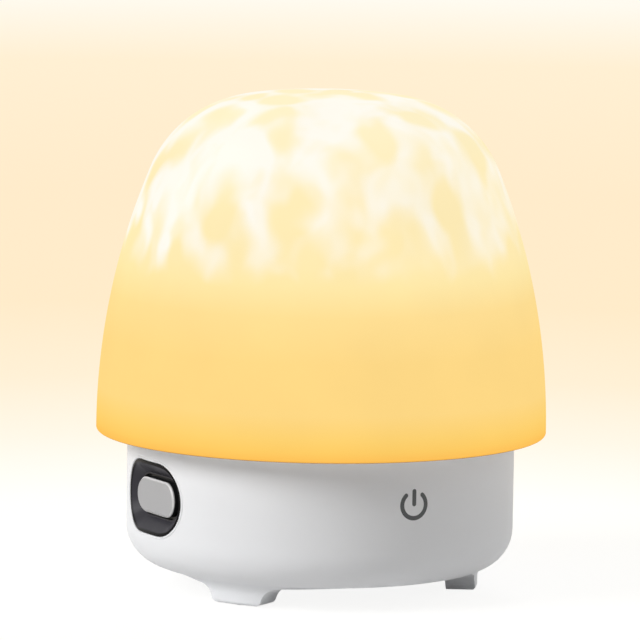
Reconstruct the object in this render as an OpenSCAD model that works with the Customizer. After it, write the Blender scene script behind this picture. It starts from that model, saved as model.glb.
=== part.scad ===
// Night light with speaker: an opal dome with a ripple projector on a drum base.
// Millimetres. +Z is up, the origin is the middle of the standing plane, the front is -Y.

/* [Dome] */
// Diameter of the dome at its rim
dome_d = 134; // [130:0.5:142]
// Height of the dome above its rim plane
dome_h = 100.7; // [96:0.1:106]
// Radius of the tall side arc of the dome outline
dome_side_r = 205; // [190:1:240]
// Radius of the shoulder arc
dome_shoulder_r = 35; // [30:0.5:38]
// Radius of the crown arc
dome_crown_r = 176; // [150:1:220]
// Wall of the dome
dome_wall = 2.4; // [2:0.1:3]
// Depth of the step inside the rim that sits on the tray
rim_step = 1; // [0.6:0.1:1.4]
// Height of that step
rim_step_h = 6; // [4:0.5:8]
// Rounding of the lower outside edge of the rim
rim_round = 0.9; // [0.4:0.1:1.2]

/* [Base] */
// Diameter of the drum base
base_d = 115.3; // [113:0.1:120]
// Height of the rim plane above the standing plane
rim_z = 47.3; // [46:0.1:54]
// Radius of the rounded bottom edge of the drum
base_round = 11.5; // [9:0.1:12.5]
// Wall of the drum
base_wall = 2.4; // [2:0.1:2.8]
// Thickness of the drum's floor
floor_t = 2.4; // [2.2:0.1:3]
// Height of the floor's underside above the standing plane
floor_z = 6.7; // [6.2:0.1:8]

/* [Feet] */
// Inner radius of the skirt and the feet
skirt_in_r = 38.8; // [37.5:0.1:39]
// Outer radius of the thin skirt between the feet
skirt_out_r = 46.4; // [45:0.1:46.7]
// Outer radius of the feet
foot_out_r = 47.4; // [46.8:0.1:48]
// Width of a foot's flat sole
foot_w = 12.6; // [10:0.2:14]
// Rounding at the two ends of a sole
foot_corner_r = 2.2; // [1.6:0.1:2.6]
// Rounding along the outer edge of a sole
foot_edge_r = 1.2; // [0.8:0.1:1.4]
// Fillet between the outside of a foot and the drum
foot_fillet_r = 4; // [2.5:0.1:5]
// Length over which that fillet runs out on both sides of a foot
fillet_run = 8; // [5:0.5:12]
// Radius of the arch where a foot runs into the skirt
arch_r = 5.3; // [4.6:0.1:6]
// Height of the thin skirt where it leaves a foot
skirt_h = 0.9; // [0.5:0.1:1.5]
// Diameter of the soft pads
pad_d = 6; // [5.4:0.1:6.2]
// Thickness of the soft pads
pad_t = 1.3; // [1:0.1:1.6]
// How far a pad stands out of its foot
pad_proud = 0.3; // [0.2:0.1:0.6]

/* [Side button] */
// Width of the bezel
bezel_w = 32.5; // [30:0.5:34]
// Height of the bezel
bezel_h = 21.8; // [19:0.2:22]
// Height of the bezel's middle above the standing plane
bezel_z = 29.7; // [29.5:0.1:31]
// Width of the button
button_w = 22.8; // [20:0.2:23]
// Height of the button
button_h = 10.4; // [9:0.1:10.6]
// Gap all round the button
button_gap = 0.8; // [0.5:0.1:1]
// Width of the flat land round the dish of the bezel
bezel_land = 0.9; // [0.6:0.1:1.2]
// Depth of the dish, from the drum's surface to its floor
dish_depth = 4; // [3.6:0.1:4.4]
// How far the button stands above the dish's floor
button_rise = 1.9; // [1.6:0.1:2.8]
// Chamfer round the button's face
button_chamfer = 0.5; // [0.3:0.1:1]
// Travel of the button
button_travel = 0.6; // [0.3:0.1:0.7]

/* [Speaker] */
// Diameter of the speaker frame
speaker_d = 52; // [48:0.5:54]
// Diameter of the sound opening in the floor
sound_d = 46; // [42:0.5:46]
// Diameter of the grille holes
grille_hole_d = 2.2; // [1.6:0.1:2.6]
// Spacing of the grille holes
grille_pitch = 3.8; // [3.4:0.1:4.6]
// Diameter of the magnet
magnet_d = 35; // [32:0.5:38]
// Thickness of the magnet
magnet_t = 5; // [4:0.1:5.2]

/* [Ripple drive] */
// Gear module of the ripple wheel and its pinion
gear_m = 1; // [0.9:0.05:1.05]
// Teeth of the ripple wheel
wheel_teeth = 54; // [50:2:58]
// Teeth of the pinion
pinion_teeth = 12; // [10:2:14]
// Thickness of the gear rims
gear_t = 3; // [2.5:0.1:3.5]
// Radius of the hollow journal that the wheel turns on
journal_r = 17; // [16:0.1:18]
// Height of the projector tower
tower_h = 26; // [24:0.5:32]

/* [Lights] */
// LEDs round the tray
ring_led_count = 18; // [12:1:24]
// Radius of the ring of LEDs
ring_led_r = 53; // [52:0.1:54]

/* [Fits] */
// Play between moulded pieces that plug together
fit_gap = 0.2; // [0.1:0.05:0.3]
// Running play on a radius of a shaft or journal
run_gap = 0.05; // [0.03:0.01:0.1]
// Play on the diameter of a screw in its hole
screw_gap = 0.06; // [0.04:0.02:0.1]

/* [Hidden] */
$fn = 96;
// A little extra length that carries a cut past the face it opens
over = 0.5;
// Points on a quarter turn of a drawn arc
arc_steps = 10;

// Heights and radii of the dome, the tray and the drum
dome_r = dome_d / 2;
base_r = base_d / 2;
base_in_r = base_r - base_wall;
rim_low_z = rim_z - rim_round;
tray_recess = 0.4;
tray_z = rim_low_z + tray_recess;
tray_t = 2.2;
deck_z = tray_z + tray_t;
tray_wall = 2.2;
tray_r = dome_r - dome_wall + rim_step - fit_gap;
tray_wall_top = rim_low_z + rim_step_h;
spigot_h = 3;
spigot_t = 2;
floor_top = floor_z + floor_t;

// The three feet, measured from +X: two at the front and one at the back
foot_angles = [-150, -30, 90];
foot_sole_z = pad_proud;
skirt_z = floor_z - skirt_h;
// How far arches and fillets run on into the wall that they meet
blend_sink = 0.05;
// The slope and the half width of a foot where its corners turn back into the arches
foot_lean = acos(1 - (skirt_z - foot_sole_z) / (foot_corner_r + arch_r));
foot_half = foot_w / 2 + (foot_corner_r + arch_r) * sin(foot_lean);
// The centre of the drum's rounded edge, and the fillet that touches it and the outside of a foot
drum_x = base_r - base_round;
drum_z = floor_z + base_round;
fillet_apart = base_round - blend_sink + foot_fillet_r;
fillet_x = foot_out_r + foot_fillet_r;
fillet_turn = asin((fillet_x - drum_x) / fillet_apart);
fillet_z = drum_z - fillet_apart * cos(fillet_turn);
fillet_top = fillet_z + foot_fillet_r * cos(fillet_turn);
// The skirt's lower edge is a shallow arch from foot to foot, and midway it has run out into the floor
half_span_turn = 180 / len(foot_angles);
span_half = skirt_out_r * sin(half_span_turn - asin(foot_half / skirt_out_r));
skirt_fade = 0.1;
span_rise = skirt_h + skirt_fade;
span_r = (pow(span_half, 2) + pow(span_rise, 2)) / (2 * span_rise);
span_past = 1.3;
screw_circle_r = (skirt_in_r + foot_out_r - foot_edge_r) / 2;
case_screw_d = 2.6;
case_head_d = 4.8;
case_head_t = 1.8;
case_head_seat = 3.9;
case_screw_len = 18;
case_boss_d = 6.6;
case_boss_h = 5;
case_boss_top = floor_top + case_boss_h;
small_screw_d = 1.8;
small_head_d = 3.4;
small_head_t = 1.2;
cross_w = 0.6;
tip_room = 2;

// The speaker stack, from the floor upwards
gasket_t = 0.8;
gasket_w = 3;
// The flange covers the driver, and the sound opening with the gasket's seat round it
flange_r = max(speaker_d / 2, sound_d / 2 + gasket_w);
flange_z = floor_top + gasket_t;
flange_t = 1.3;
basket_h = 9.8;
basket_top = flange_z + flange_t + basket_h;
basket_inset = 3.4;
basket_r = speaker_d / 2 - basket_inset;
basket_wall = 1;
plate_t = 2;
plate_top = basket_top + plate_t;
magnet_top = plate_top + magnet_t;
yoke_t = 2;
yoke_top = magnet_top + yoke_t;
ear_out = 3.4;
ear_circle_r = flange_r + ear_out;
ear_r = 3;
ear_angles = [45, 135, 225, 315];
ear_screw_len = 3.2;
grille_t = 1.2;
grille_seat = 2.6;
grille_edge = 1;
grille_r = sound_d / 2 + grille_seat;
coil_r = 7.2;
coil_t = 0.5;
coil_gap = 0.6;
pole_r = coil_r - coil_gap;
cone_t = 0.5;
roll_w = 2.9;
cone_r = basket_r - roll_w;
cone_lift = 0.6;
cone_low_z = flange_z + cone_lift;
cone_h = 5.2;
cone_high_z = cone_low_z + cone_h;
neck_r = coil_r + coil_t + run_gap;
cap_overlap = 2.4;
cap_edge_r = neck_r + cap_overlap;
cap_bulge = 2.5;
rubber_t = 0.5;
spider_lift = 1.4;
spider_z = cone_high_z + spider_lift;
mouth_h = 2.5;
window_d = 4.2;
window_lift = 5.6;
window_clear = 4;
window_z = flange_z + window_lift;
plate_step = 1.5;
back_inset = 2;
back_r = magnet_d / 2 - back_inset;

// Boards and battery between the speaker and the tray
board_t = 1.6;
board_clear = 3;
board_z = yoke_top + board_clear;
board_top = board_z + board_t;
board_r = 37.6;
board_post_r = 33;
board_post_d = 6;
board_post_angles = [90, 210, 330];
board_screw_len = 6;
can_d = 6.3;
can_h = 7;
can_y = 25;
can_xs = [-18, -10, 12];
carrier = [18, 12, 0.8];
shield = [11, 9, 1.8];
shield_edge = 1;
module_y = 25;
battery_size = [44, 30, 7];
battery_round = 3;
foam_t = 1.2;
foam_inset = 6;

// The port at the back
port_z = 24;
port_board_size = [20, 1.2, 15];
port_rib_w = 3;
port_rib_up = 6;
port_rib_top = port_z + port_rib_up;
usb_w = 8.94;
usb_h = 3.26;
usb_wall = 0.3;
usb_len = 7.35;
usb_back_t = 1;
tongue_in = 1.2;
tongue_t = 0.7;
usb_recess = 1.2;
usb_hood = 1.6;
usb_hood_depth = 0.8;
port_board_y = base_r - usb_recess - usb_len - port_board_size.y;

// The side button, measured outwards along -X from the axis
dish_floor_x = base_r - dish_depth;
bezel_plate_t = 1.2;
bezel_back_x = dish_floor_x - bezel_plate_t;
button_face_x = dish_floor_x + button_rise;
button_flange = 1;
button_flange_t = 1.2;
flange_back_x = bezel_back_x - run_gap - button_flange_t;
stem_d = 5;
stem_len = 1;
plunger_tip_x = flange_back_x - stem_len;
plunger_d = 3.4;
plunger_out = 1;
plunger_in = 1.8;
switch_face_x = plunger_tip_x - plunger_out;
switch_size = 6.2;
switch_t = 3.4;
button_board_x = switch_face_x - switch_t;
button_board_t = 1.2;
button_board_w = 38;
button_board_h = 16;
bezel_flange = 1.5;
bezel_flange_t = 1.5;
bezel_boss_in = 0.4;
bezel_boss_y = bezel_w / 2 - bezel_boss_in;
bezel_boss_d = 4;
button_screw_len = 3.6;
slot_w = button_w + 2 * button_gap;
slot_h = button_h + 2 * button_gap;
keeper_w = slot_w + 2 * button_flange;
keeper_h = slot_h + 2 * button_flange;

// The projector on the tray's deck
sink_h = 6;
sink_r = 15;
star_t = 1.6;
star_z = deck_z + sink_h;
emitter_z = star_z + star_t;
tower_ring = 4;
tower_r = journal_r + tower_ring;
tower_wall = 2.5;
tower_top = deck_z + tower_h;
bearing_h = 5;
lens_up = 5;
lens_z = emitter_z + lens_up;
lens_t = 6;
wheel_z = tower_top + run_gap;
wheel_top = wheel_z + gear_t;
wheel_pitch_r = gear_m * wheel_teeth / 2;
pinion_pitch_r = gear_m * pinion_teeth / 2;
drive_x = wheel_pitch_r + pinion_pitch_r;
tip_r = wheel_pitch_r + gear_m;
glass_inset = 2;
glass_r = journal_r - glass_inset;
glass_seat = 1;
seat_w = 1.5;
cap_gap = 2;
cap_z = wheel_top + cap_gap;
cap_t = 2;
cap_leg_d = 6;
cap_leg_clear = 1;
cap_leg_r = tip_r + cap_leg_d / 2 + cap_leg_clear;
cap_leg_angles = [60, 180, 300];
lens_ledge = 2;
cap_hole_r = glass_r - lens_ledge;
cap_ring = 3;
motor_w = 12;
motor_d = 10;
motor_shaft_d = 3;
motor_plate_t = 1.6;
pinion_clear = 1.4;
bracket_screw_out = 5.5;
bracket_screw_y = motor_d / 2 + bracket_screw_out;
bracket_tab_end = 2.6;
tower_flange_t = 2;
tower_screw_out = 2.5;
tower_screw_r = tower_r + tower_screw_out;
tower_screw_angles = [30, 150, 270];
wire_hole_y = -40;
wire_hole_d = 8;
motor_plate_z = wheel_z - pinion_clear - motor_plate_t;
motor_screw_d = 1.4;
motor_screw_y = 3.4;
motor_screw_in = 2.5;
motor_head_d = 2.6;
motor_head_t = 0.8;
gearbox_h = 9;
shaft_grip = 5;
shaft_end = 1;
shaft_low_z = motor_plate_z - shaft_grip;
pressure_angle = 20;
backlash = 0.16;
// Height of a tooth above and below the pitch circle, in modules
addendum = 0.9;
dedendum = 1.2;
cap_screw_len = 8;
motor_can_h = 11;
led_margin = 5;
led_board_w = 15;
led_board_out_r = tray_r - tray_wall - fit_gap;
led_board_in_r = min(led_board_out_r - led_board_w, ring_led_r - led_margin);
led_board_t = 1.6;
led_top = deck_z + led_board_t;

// Points on an arc, centre and radius given, from one angle to the other
function arc(cx, cy, r, from, to, steps = arc_steps) =
    [for (i = [0:steps]) let (a = from + (to - from) * i / steps) [cx + r * cos(a), cy + r * sin(a)]];
function reversed(points) = [for (i = [len(points) - 1:-1:0]) points[i]];

// The dome outline is three arcs that touch: side, shoulder and crown.
// The side arc ends at the angle where a shoulder arc inside it also touches the crown arc.
side_x = dome_r - dome_side_r;
crown_z = dome_h - dome_crown_r;
inner_reach = dome_side_r - dome_shoulder_r;
touch = (pow(dome_crown_r - dome_shoulder_r, 2) - pow(side_x, 2) - pow(crown_z, 2) - pow(inner_reach, 2))
    / (2 * inner_reach);
side_end = -acos(touch / norm([side_x, crown_z])) - atan2(crown_z, side_x);
shoulder_x = side_x + inner_reach * cos(side_end);
shoulder_z = inner_reach * sin(side_end);
shoulder_end = atan2(shoulder_z - crown_z, shoulder_x);
// Degrees left out at both ends of the shoulder, so that no two points of the outline fall together
shoulder_trim = 4;

// Dome outline from the rim to the crown, moved inwards, starting at a height above the rim plane
function dome_arcs(inwards, start_h) = concat(
    arc(side_x, rim_z, dome_side_r - inwards, asin(start_h / (dome_side_r - inwards)), side_end, 12),
    arc(shoulder_x, rim_z + shoulder_z, dome_shoulder_r - inwards,
        side_end + shoulder_trim, shoulder_end - shoulder_trim, 12),
    arc(0, rim_z + crown_z, dome_crown_r - inwards, shoulder_end, 90, 4));

// A flat-sided shape with round ends
module stadium(w, h) {
    polygon(concat(arc((w - h) / 2, 0, h / 2, -90, 90, 24), arc((h - w) / 2, 0, h / 2, 90, 270, 24)));
}

// A stadium bar along -X, between two distances from the axis
module side_bar(w, h, x_in, x_out) {
    translate([-x_in, 0, bezel_z]) rotate([90, 0, -90]) linear_extrude(x_out - x_in) stadium(w, h);
}

module tube(r_out, r_in, z0, z1) {
    translate([0, 0, z0]) difference() {
        cylinder(r = r_out, h = z1 - z0);
        translate([0, 0, -over]) cylinder(r = r_in, h = z1 - z0 + 2 * over);
    }
}

module disc(r, z0, z1) {
    translate([0, 0, z0]) cylinder(r = r, h = z1 - z0);
}

module round_at(angles, radius) {
    for (a = angles) rotate(a) translate([radius, 0, 0]) children();
}

// A screw that points down from a seat at z, or up when it is turned over
module screw(d, len, head_d, head_t, up = false) {
    mirror([0, 0, up ? 1 : 0]) {
        translate([0, 0, -len]) cylinder(d = d, h = len, $fn = 24);
        difference() {
            cylinder(d = head_d, h = head_t, $fn = 32);
            for (a = [0, 90]) rotate(a) translate([-head_d, -cross_w / 2, head_t / 2])
                cube([2 * head_d, cross_w, head_t]);
        }
    }
}

module dome_diffuser() {
    step_r = dome_r - dome_wall + rim_step;
    color("moccasin") rotate_extrude() polygon(concat(
        [[step_r, rim_low_z]],
        arc(dome_r - rim_round, rim_z, rim_round, -90, -15, 5),
        dome_arcs(0, 0),
        reversed(dome_arcs(dome_wall, rim_step_h - rim_round)),
        [[step_r, tray_wall_top]]));
}

module light_tray() {
    color("white") difference() {
        union() {
            disc(tray_r, tray_z, deck_z);
            tube(tray_r, tray_r - tray_wall, tray_z, tray_wall_top);
            tube(base_in_r - fit_gap, base_in_r - fit_gap - spigot_t, tray_z - spigot_h, tray_z + over);
            round_at(foot_angles, screw_circle_r) disc(case_boss_d / 2, case_boss_top, tray_z + over);
            round_at(board_post_angles, board_post_r) disc(board_post_d / 2, board_top, tray_z + over);
        }
        round_at(foot_angles, screw_circle_r)
            disc((case_screw_d + screw_gap) / 2, case_boss_top - over,
                case_head_seat + case_screw_len + tip_room);
        round_at(board_post_angles, board_post_r)
            disc((small_screw_d + screw_gap) / 2, board_top - over, board_top + board_screw_len);
        round_at(cap_leg_angles, cap_leg_r)
            disc((small_screw_d + screw_gap) / 2, tray_z - over, deck_z + over);
        round_at(tower_screw_angles, tower_screw_r)
            disc((small_screw_d + screw_gap) / 2, tray_z - over, deck_z + over);
        for (side = [-1, 1]) translate([drive_x, side * bracket_screw_y, 0])
            disc((small_screw_d + screw_gap) / 2, tray_z - over, deck_z + over);
        translate([0, wire_hole_y, 0]) disc(wire_hole_d / 2, tray_z - over, deck_z + over);
    }
}

// Outline of a foot across its width: each side is a round corner that turns back into an arch,
// above which the fillet to the drum runs out along a slope
module foot_outline() {
    right = concat(
        arc(foot_w / 2, foot_sole_z + foot_corner_r, foot_corner_r, -90, foot_lean - 90, 6),
        arc(foot_half, skirt_z - arch_r + blend_sink, arch_r, 90 + foot_lean, 90, 8),
        [[foot_half + fillet_run, fillet_top + over]]);
    left = [for (p = reversed(right)) [-p.x, p.y]];
    polygon(concat(right, left));
}

// Cross-section of the ring that the feet are cut from, with a rounded sole and a fillet up to the drum
module foot_section() {
    edge_x = foot_out_r - foot_edge_r;
    polygon(concat([[skirt_in_r, foot_sole_z], [edge_x, foot_sole_z]],
        arc(edge_x, foot_sole_z + foot_edge_r, foot_edge_r, -80, 0, 5),
        arc(fillet_x, fillet_z, foot_fillet_r, 180, 90 + fillet_turn, 8),
        [[drum_x, floor_z + over], [skirt_in_r, floor_z + over]]));
}

// Thin ring under the drum, cut away by a shallow arch between each two feet
module skirt() {
    cut_turn = span_past * asin(span_half / span_r);
    difference() {
        tube(skirt_out_r, skirt_in_r, skirt_z, floor_z + over);
        for (a = foot_angles) rotate(a + half_span_turn) rotate([90, 0, 90]) linear_extrude(base_r)
            polygon(arc(0, floor_z + skirt_fade - span_r, span_r, 90 - cut_turn, 90 + cut_turn, 15));
    }
}

// Outline of the drum, moved inwards, from the floor's middle to the top of the wall
function drum_arcs(inwards) = concat(
    arc(drum_x, drum_z, base_round - inwards, -90, 0),
    [[base_r - inwards, tray_z]]);

module drum_solid() {
    rotate_extrude() polygon(concat([[0, tray_z], [0, floor_z]], drum_arcs(0)));
}

module usb_bar(grow, y_in, y_out) {
    translate([0, y_out, port_z]) rotate([90, 0, 0]) linear_extrude(y_out - y_in)
        stadium(usb_w + 2 * grow, usb_h + 2 * grow);
}

module port_ribs() {
    half = port_board_size.x / 2;
    low = port_z - port_board_size.z / 2;
    for (side = [0, 1]) mirror([side, 0, 0]) difference() {
        translate([half - port_rib_w / 2, port_board_y - port_rib_w / 2, floor_z])
            cube([port_rib_w, port_board_size.y + port_rib_w, port_rib_top - floor_z]);
        translate([0, port_board_y - fit_gap / 2, low])
            cube([half + fit_gap / 2, port_board_size.y + fit_gap, port_board_size.z]);
    }
}

module base_shell() {
    inner_floor = floor_z + max(floor_t, base_wall);
    color("whitesmoke") difference() {
        union() {
            rotate_extrude() polygon(concat(
                [[sound_d / 2, floor_top], [sound_d / 2, floor_z]],
                drum_arcs(0),
                reversed(drum_arcs(base_wall)),
                [[drum_x - over, floor_top]]));
            skirt();
            for (a = foot_angles) intersection() {
                rotate_extrude() foot_section();
                rotate(a) rotate([90, 0, 90]) linear_extrude(base_r) foot_outline();
            }
            round_at(foot_angles, screw_circle_r) disc(case_boss_d / 2, inner_floor - over, case_boss_top);
            round_at(ear_angles, ear_circle_r) disc(ear_r, inner_floor - over, flange_z);
            intersection() {
                drum_solid();
                port_ribs();
            }
        }
        round_at(foot_angles, screw_circle_r) {
            disc(pad_d / 2 + fit_gap / 2, -over, pad_t);
            disc(case_head_d / 2 + fit_gap, 0, case_head_seat);
            disc(case_screw_d / 2 + fit_gap, 0, case_boss_top + over);
        }
        round_at(ear_angles, ear_circle_r)
            disc((small_screw_d + screw_gap) / 2, flange_z + flange_t - ear_screw_len, flange_z + over);
        disc(grille_r + fit_gap, floor_z - over, floor_z + grille_t);
        side_bar(bezel_w, bezel_h, 0, base_r + over);
        usb_bar(fit_gap, port_board_y, base_r + over);
        usb_bar(usb_hood, base_r - usb_hood_depth, base_r + over);
    }
}

module foot_pads() {
    color("gainsboro") round_at(foot_angles, screw_circle_r) disc(pad_d / 2, 0, pad_t);
}

module case_screws() {
    color("silver") round_at(foot_angles, screw_circle_r) translate([0, 0, case_head_seat])
        screw(case_screw_d, case_screw_len, case_head_d, case_head_t, true);
}

// Rows of holes in a close-packed pattern, as far out as the sound opening allows
module grille_holes() {
    rows = floor(sound_d / grille_pitch);
    row_step = grille_pitch * sin(60);
    for (i = [-rows:rows], j = [-rows:rows]) {
        x = (i + (j % 2 == 0 ? 0 : 0.5)) * grille_pitch;
        y = j * row_step;
        if (norm([x, y]) < sound_d / 2 - grille_hole_d / 2 - grille_edge)
            translate([x, y, 0]) disc(grille_hole_d / 2, floor_z - over, floor_z + grille_t + over, $fn = 24);
    }
}

module speaker_grille() {
    color("white") difference() {
        disc(grille_r, floor_z, floor_z + grille_t);
        grille_holes();
    }
}

module speaker_gasket() {
    color("dimgray") tube(flange_r, sound_d / 2, floor_top, flange_z);
}

module speaker_frame() {
    hole_r = coil_r + coil_t + coil_gap;
    top_inside = basket_top - basket_wall;
    color("darkslategray") difference() {
        union() {
            rotate_extrude() polygon([[basket_r, flange_z], [flange_r, flange_z],
                [flange_r, flange_z + flange_t], [basket_r + basket_wall, flange_z + flange_t],
                [basket_r + basket_wall, flange_z + mouth_h], [back_r + basket_wall, top_inside],
                [back_r + basket_wall, basket_top], [hole_r, basket_top], [hole_r, top_inside],
                [back_r, top_inside], [basket_r, flange_z + mouth_h]]);
            round_at(ear_angles, ear_circle_r) disc(ear_r, flange_z, flange_z + flange_t);
            for (a = ear_angles) rotate(a) translate([basket_r + over, -ear_r, flange_z])
                cube([ear_circle_r - basket_r - over, 2 * ear_r, flange_t]);
        }
        round_at(ear_angles, ear_circle_r)
            disc((small_screw_d + screw_gap) / 2, flange_z - over, flange_z + flange_t + over);
        for (a = [0:60:300]) rotate(a + 15) translate([coil_r + coil_t + window_clear, 0, window_z])
            rotate([0, 90, 0]) cylinder(d = window_d, h = basket_r, $fn = 32);
    }
}

module speaker_screws() {
    color("silver") round_at(ear_angles, ear_circle_r) translate([0, 0, flange_z + flange_t])
        screw(small_screw_d, ear_screw_len, small_head_d, small_head_t);
}

// Half roll of rubber between the frame and the cone
module speaker_surround() {
    roll_in = cone_r + run_gap;
    roll_out = basket_r - run_gap;
    mid = (roll_in + roll_out) / 2;
    roll_r = (roll_out - roll_in) / 2;
    color("black") rotate_extrude() polygon(concat(
        arc(mid, cone_low_z, roll_r, 0, 180),
        arc(mid, cone_low_z, roll_r - rubber_t, 180, 0)));
}

module speaker_cone() {
    color("dimgray") rotate_extrude() polygon([[neck_r, cone_high_z], [neck_r, cone_high_z + cone_t],
        [neck_r + 2 * cone_t, cone_high_z + cone_t], [cone_r, cone_low_z + cone_t], [cone_r, cone_low_z]]);
}

// Shallow cap that closes the neck of the cone, bulging downwards
module dust_cap() {
    fall = (cap_edge_r - neck_r) / (cone_r - neck_r) * (cone_high_z - cone_low_z);
    edge_z = cone_high_z - fall - cone_t - run_gap;
    bow_r = (pow(cap_edge_r, 2) + pow(cap_bulge, 2)) / (2 * cap_bulge);
    half_angle = asin(cap_edge_r / bow_r);
    centre_z = edge_z + bow_r - cap_bulge;
    color("black") rotate_extrude() polygon(concat(
        arc(0, centre_z, bow_r, -90, half_angle - 90),
        arc(0, centre_z, bow_r - cone_t, half_angle - 90, -90)));
}

module voice_coil() {
    color("peru") tube(coil_r + coil_t, coil_r, cone_high_z, plate_top + cone_t);
}

// Pleated cloth ring that centres the coil in the frame
module speaker_spider() {
    pleats = 5;
    in_r = neck_r + run_gap;
    out_r = basket_r - (basket_r - back_r) * (spider_z + 2 * cone_t - flange_z - mouth_h)
        / (flange_t + basket_h - basket_wall - mouth_h) - run_gap;
    steps = pleats * 8;
    wave = [for (i = [0:steps])
        [in_r + (out_r - in_r) * i / steps, spider_z + cone_t / 2 * (1 - cos(360 * pleats * i / steps))]];
    color("goldenrod") rotate_extrude()
        polygon(concat(wave, reversed([for (p = wave) [p.x, p.y + cone_t]])));
}

module speaker_top_plate() {
    color("silver") tube(magnet_d / 2 - plate_step, coil_r + coil_t + coil_gap, basket_top, plate_top);
}

module speaker_magnet() {
    color("dimgray") tube(magnet_d / 2, coil_r + coil_t + 3 * coil_gap, plate_top, magnet_top);
}

module speaker_yoke() {
    color("silver") union() {
        disc(magnet_d / 2 - plate_step, magnet_top, yoke_top);
        disc(pole_r, basket_top, magnet_top + over);
    }
}

module main_board() {
    color("darkgreen") difference() {
        disc(board_r, board_z, board_top);
        round_at(board_post_angles, board_post_r)
            disc((small_screw_d + screw_gap) / 2, board_z - over, board_top + over);
    }
}

// Flat packages on the board, each with its place and size
module board_chips() {
    chips = [[-10, 6, 7, 7, 1], [8, 7, 5, 5, 1], [-4, -8, 5, 4, 1.2], [14, -5, 7, 7, 2.6]];
    color("black") for (c = chips) translate([c[0] - c[2] / 2, c[1] - c[3] / 2, board_top])
        cube([c[2], c[3], c[4]]);
}

module board_capacitors() {
    color("silver") for (x = can_xs) translate([x, can_y, 0])
        disc(can_d / 2, board_top, board_top + can_h);
}

module wireless_module() {
    color("silver") translate([0, -module_y, board_top]) {
        translate([-carrier.x / 2, -carrier.y / 2, 0]) cube(carrier);
        translate([carrier.x / 2 - shield.x - shield_edge, -shield.y / 2, 0]) cube(shield);
    }
}

module board_screws() {
    color("silver") {
        round_at(board_post_angles, board_post_r) translate([0, 0, board_z])
            screw(small_screw_d, board_screw_len, small_head_d, small_head_t, true);
        for (side = [-1, 1]) translate([-button_board_x + button_board_t, side * bezel_boss_y, bezel_z])
            rotate([0, 90, 0]) screw(small_screw_d, button_screw_len, small_head_d, small_head_t);
    }
}

// A flat block with round upright corners
module round_block(size, r) {
    x = size.x / 2 - r;
    y = size.y / 2 - r;
    linear_extrude(size.z) polygon(concat(arc(x, y, r, 0, 90, 6), arc(-x, y, r, 90, 180, 6),
        arc(-x, -y, r, 180, 270, 6), arc(x, -y, r, 270, 360, 6)));
}

module battery_cell() {
    color("steelblue") translate([0, 0, tray_z - foam_t - battery_size.z])
        round_block(battery_size, battery_round);
}

module battery_foam() {
    color("dimgray") translate([0, 0, tray_z - foam_t])
        round_block([battery_size.x - foam_inset, battery_size.y - foam_inset, foam_t], battery_round);
}

module port_board() {
    color("darkgreen") translate([-port_board_size.x / 2, port_board_y, port_z - port_board_size.z / 2])
        cube(port_board_size);
}

module usb_socket() {
    back = port_board_y + port_board_size.y;
    front = base_r - usb_recess;
    color("silver") union() {
        difference() {
            usb_bar(0, back, front);
            usb_bar(-usb_wall, back + usb_back_t, front + over);
        }
        translate([-usb_w / 2 + tongue_in, back, port_z - tongue_t / 2])
            cube([usb_w - 2 * tongue_in, usb_len - usb_back_t, tongue_t]);
    }
}

// Dish that narrows from the bezel's land to the floor round the button
module bezel_dish() {
    ledge = 0.5;
    floor_w = slot_w + 2 * ledge;
    floor_h = slot_h + 2 * ledge;
    end_x = sqrt(pow(base_r, 2) - pow(bezel_w / 2 - bezel_land, 2));
    top_x = base_r + over;
    top_w = floor_w + (bezel_w - 2 * bezel_land - floor_w) * (top_x - dish_floor_x) / (end_x - dish_floor_x);
    top_h = floor_h + (bezel_h - 2 * bezel_land - floor_h) * (top_x - dish_floor_x) / dish_depth;
    sheet = 0.01;
    hull() {
        side_bar(floor_w, floor_h, dish_floor_x, dish_floor_x + sheet);
        side_bar(top_w, top_h, top_x, top_x + sheet);
    }
}

module button_bezel() {
    color("darkslategray") difference() {
        union() {
            intersection() {
                disc(base_r, 0, tray_z);
                side_bar(bezel_w - 2 * fit_gap, bezel_h - 2 * fit_gap, bezel_back_x, base_r + over);
            }
            intersection() {
                tube(base_in_r - fit_gap, base_in_r - fit_gap - bezel_flange_t, 0, tray_z);
                side_bar(bezel_w + 2 * bezel_flange, bezel_h + 2 * bezel_flange, 0, base_r);
            }
            intersection() {
                disc(base_in_r - fit_gap, 0, tray_z);
                for (side = [-1, 1]) translate([-base_r, side * bezel_boss_y, bezel_z])
                    rotate([0, 90, 0]) cylinder(d = bezel_boss_d, h = base_r - button_board_x);
            }
        }
        bezel_dish();
        side_bar(slot_w, slot_h, bezel_back_x - over, dish_floor_x + over);
        side_bar(keeper_w + 2 * fit_gap, keeper_h + 2 * fit_gap, 0, bezel_back_x);
        for (side = [-1, 1]) translate([-button_board_x + over, side * bezel_boss_y, bezel_z])
            rotate([0, -90, 0]) cylinder(d = small_screw_d + screw_gap, h = button_screw_len, $fn = 24);
    }
}

module side_button() {
    sheet = 0.01;
    edge_x = button_face_x - button_chamfer;
    flange_x = bezel_back_x - run_gap;
    color("darkgray") union() {
        side_bar(button_w, button_h, flange_back_x, edge_x);
        hull() {
            side_bar(button_w, button_h, edge_x - sheet, edge_x);
            side_bar(button_w - 2 * button_chamfer, button_h - 2 * button_chamfer, edge_x, button_face_x);
        }
        side_bar(keeper_w, keeper_h, flange_back_x, flange_x);
        translate([-flange_back_x - over, 0, bezel_z]) rotate([0, 90, 0])
            cylinder(d = stem_d, h = stem_len + over);
    }
}

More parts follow.
